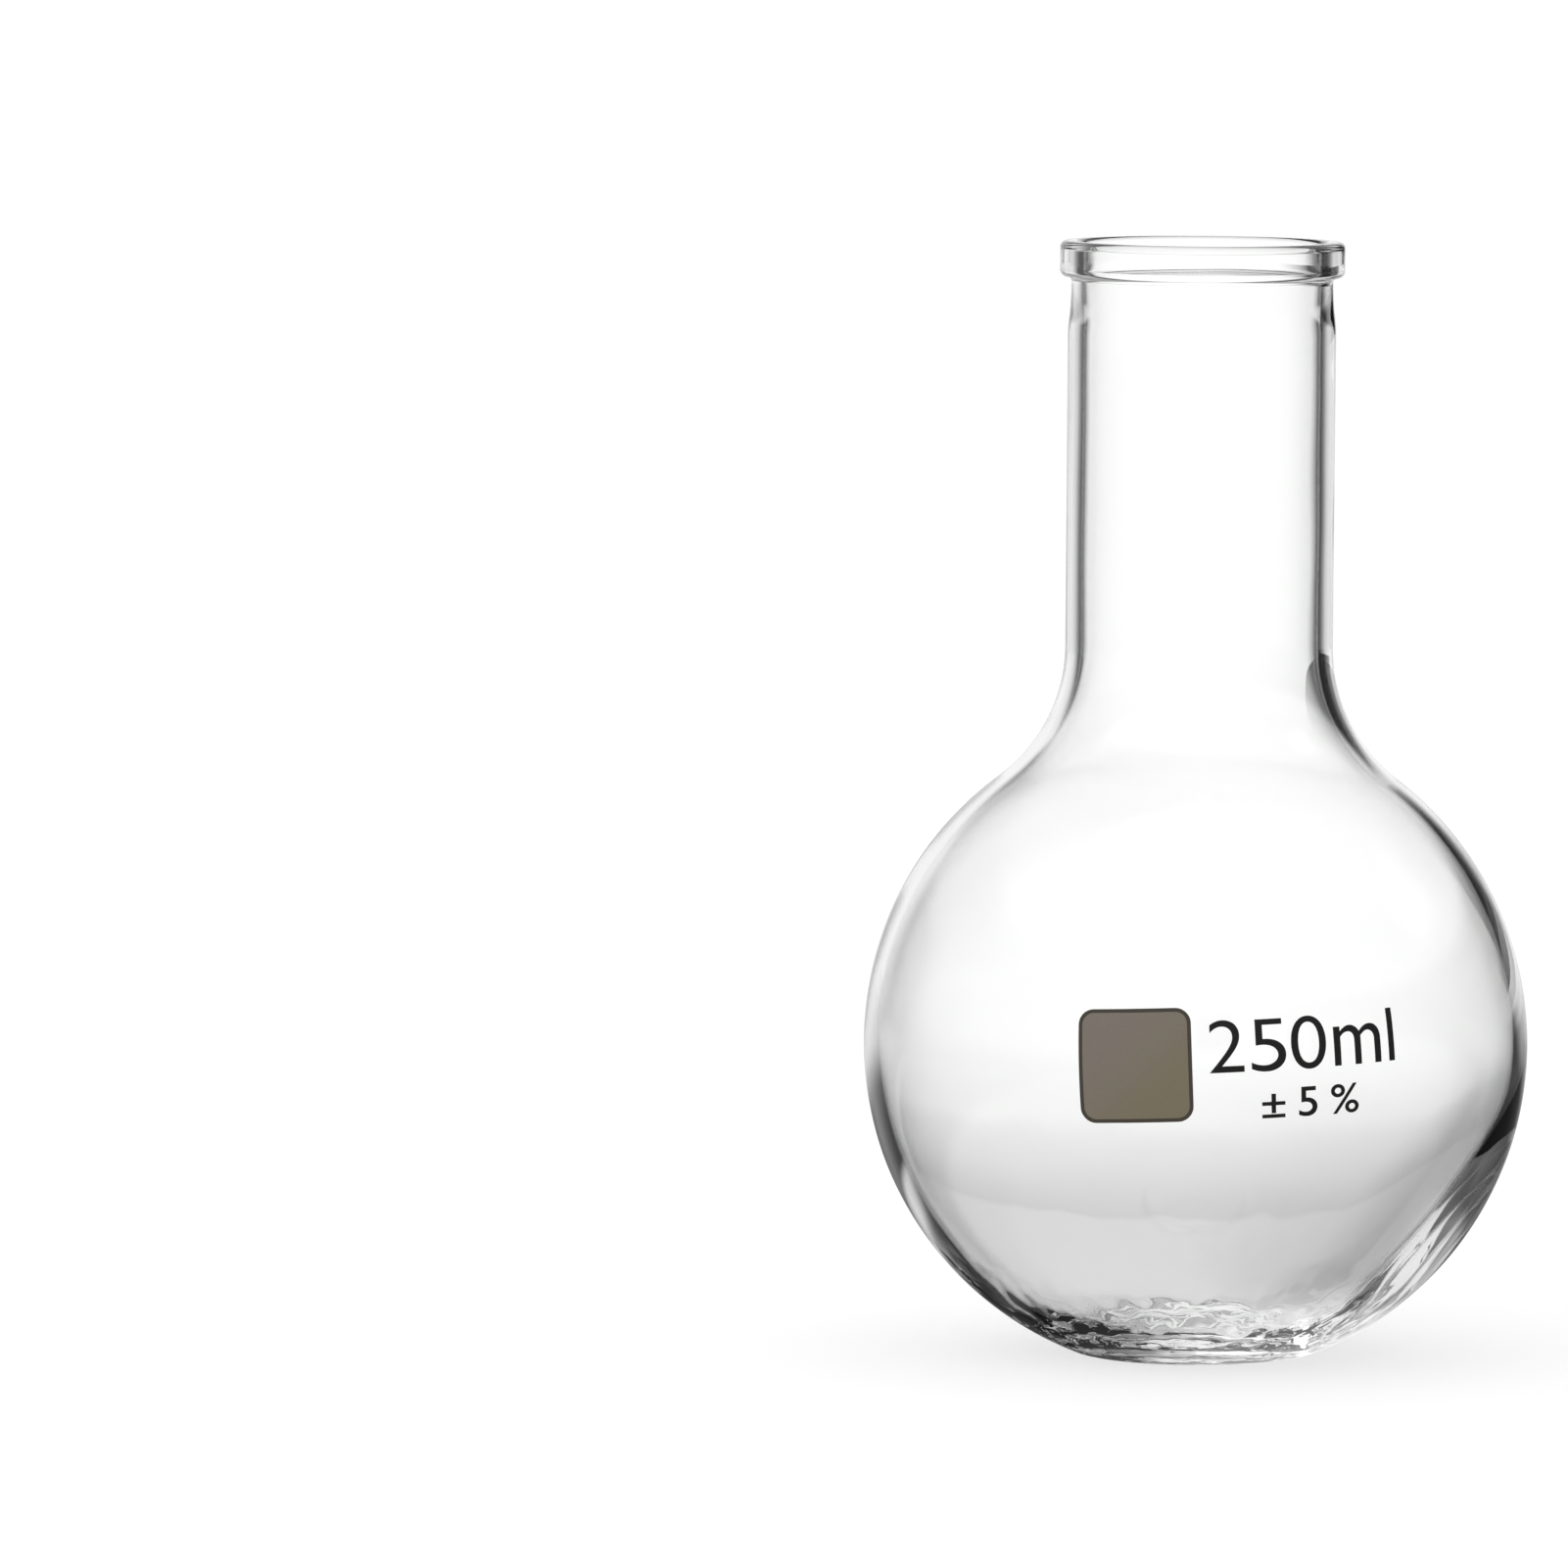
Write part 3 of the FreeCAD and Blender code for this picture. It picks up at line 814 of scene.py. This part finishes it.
def build_world(studio):
    """A white studio: white behind the flask, with darker sides for what the glass mirrors."""
    world = bpy.data.worlds.new("studio")
    bpy.context.scene.world = world
    world.use_nodes = True
    desk = Desk(world.node_tree)
    mirrored, through, one_wall = ray_kinds(desk)
    way = desk.node("ShaderNodeTexCoord", output="Generated")
    angle = way_round(desk, studio, way)
    height = desk.along(way, (0, 0, 1))
    walls = zones(height, angle, *MIRRORED_WALLS)
    under_bead = one_wall * height.ramp(*BEHIND_BEAD_FADE)
    behind = desk.blend(under_bead, sweep(angle, BEHIND_GLASS), sweep(angle, BEHIND_BEAD))
    backdrop = desk.blend(through, grey(1), behind)
    tone = desk.blend(mirrored, backdrop, walls)
    shine = desk.node("ShaderNodeBackground", None, {"Color": tone, "Strength": 1.0})
    desk.node("ShaderNodeOutputWorld", None, {"Surface": shine})


def floor_material(studio):
    """Pale floor: white to the camera with the flask's shadow; to rays mirrored by or passed through the
    glass it glows instead with painted light and shade that vary round the flask.
    """
    material, desk = new_material("pale_floor")
    mirrored, through, _ = ray_kinds(desk)
    place = desk.node("ShaderNodeTexCoord", output="Object")
    away = desk.node("ShaderNodeVectorMath", {"operation": "LENGTH"}, {0: place}, output="Value")
    angle = way_round(desk, studio, place)
    in_mirror = zones(away, angle, *MIRRORED_FLOOR)
    outward = desk.node("ShaderNodeValToRGB", {"stops": FLOOR_AWAY}, {"Fac": away}, output="Color")
    round_about = zones(away, angle, *FLOOR_THROUGH_GLASS)
    behind = desk.blend(1.0, outward, round_about, "MULTIPLY")
    paint = desk.node("ShaderNodeBsdfDiffuse", None, {"Color": grey(studio.floor_paint)})
    glow = desk.node("ShaderNodeEmission", None, {"Color": grey(1), "Strength": studio.floor_glow})
    lit = desk.node("ShaderNodeAddShader", None, {0: paint, 1: glow})
    # Painted light and shade: to mirrored and through-glass rays the floor is a glowing emitter whose
    # brightness is set by angle and distance from the flask
    tone = desk.node("ShaderNodeEmission", None, {"Color": desk.blend(mirrored, behind, in_mirror)})
    shown = desk.mix_shaders(mirrored.most(through), lit, tone)
    desk.node("ShaderNodeOutputMaterial", None, {"Surface": shown})
    return material


def build_floor(studio):
    bpy.ops.object.select_all(action="DESELECT")
    bpy.ops.mesh.primitive_circle_add(vertices=128, radius=studio.floor_radius, fill_type="NGON")
    floor = bpy.context.object
    floor.name = "floor"
    floor.data.materials.append(floor_material(studio))


def build_camera(studio, bulb_height):
    """Stand the camera where the photograph was taken from, aimed so that the bulb lies at its place."""
    back = Vector((
        math.sin(studio.azimuth) * math.cos(studio.elevation),
        -math.cos(studio.azimuth) * math.cos(studio.elevation),
        math.sin(studio.elevation),
    ))
    level = Vector((math.cos(studio.azimuth), math.sin(studio.azimuth), 0))
    rolled = Matrix.Rotation(studio.roll, 3, back)
    right = rolled @ level
    up = back.cross(right)
    pixel = studio.frame_width / PICTURE_PIXELS
    aside = (BULB_PIXEL_X - PICTURE_PIXELS / 2) * pixel
    below = (BULB_PIXEL_Y - PICTURE_PIXELS / 2) * pixel
    bulb = Vector((0, 0, bulb_height))
    place = bulb - right * aside + up * below + back * studio.distance
    bpy.ops.object.camera_add()
    camera = bpy.context.object
    camera.matrix_world = Matrix.Translation(place) @ Matrix((right, up, back)).transposed().to_4x4()
    camera.data.lens = camera.data.sensor_width * studio.distance / studio.frame_width
    camera.data.clip_end = 20
    bpy.context.scene.camera = camera


def build_lamp(studio):
    """Hang one soft lamp that lights the print and casts the shadow, unseen in the glass."""
    bpy.ops.object.light_add(type="AREA", location=studio.lamp_place)
    lamp = bpy.context.object
    lamp.data.size = studio.lamp_size
    lamp.data.energy = studio.lamp_power
    aim = Vector((0, 0, studio.lamp_aim)) - lamp.location
    lamp.rotation_euler = aim.to_track_quat("-Z", "Y").to_euler()
    lamp.visible_glossy = False
    lamp.visible_transmission = False


class FLASK_OT_studio(bpy.types.Operator):
    """Set the flask on a pale floor under soft light, with the camera in place"""

    bl_idname = "flask.studio"
    bl_label = "Set up studio"

    def execute(self, context):
        scene = context.scene
        studio = scene.flask_studio
        build_world(studio)
        build_floor(studio)
        build_lamp(studio)
        build_camera(studio, scene.flask_glass.bulb_height)
        scene.view_settings.view_transform = "Standard"
        scene.cycles.glossy_bounces = studio.mirror_bounces
        return {"FINISHED"}


class FLASK_PT_panel(bpy.types.Panel):
    """The flask's steps in the sidebar"""

    bl_label = "Flask"
    bl_idname = "FLASK_PT_panel"
    bl_space_type = "VIEW_3D"
    bl_region_type = "UI"
    bl_category = "Flask"

    def draw(self, context):
        for operator in OPERATORS:
            self.layout.operator(operator.bl_idname)


GROUPS = {"flask_glass": FlaskGlass, "flask_print": FlaskPrint, "flask_studio": FlaskStudio}
OPERATORS = (FLASK_OT_glass, FLASK_OT_patch, FLASK_OT_lettering, FLASK_OT_studio)
CLASSES = (*GROUPS.values(), *OPERATORS, FLASK_PT_panel)


def register():
    for item in CLASSES:
        bpy.utils.register_class(item)
    for name, group in GROUPS.items():
        setattr(bpy.types.Scene, name, PointerProperty(type=group))


def unregister():
    for name in GROUPS:
        delattr(bpy.types.Scene, name)
    for item in reversed(CLASSES):
        bpy.utils.unregister_class(item)


def main():
    register()
    bpy.ops.flask.glass()
    bpy.ops.flask.patch()
    bpy.ops.flask.lettering()
    bpy.ops.flask.studio()


if __name__ == "__main__":
    main()
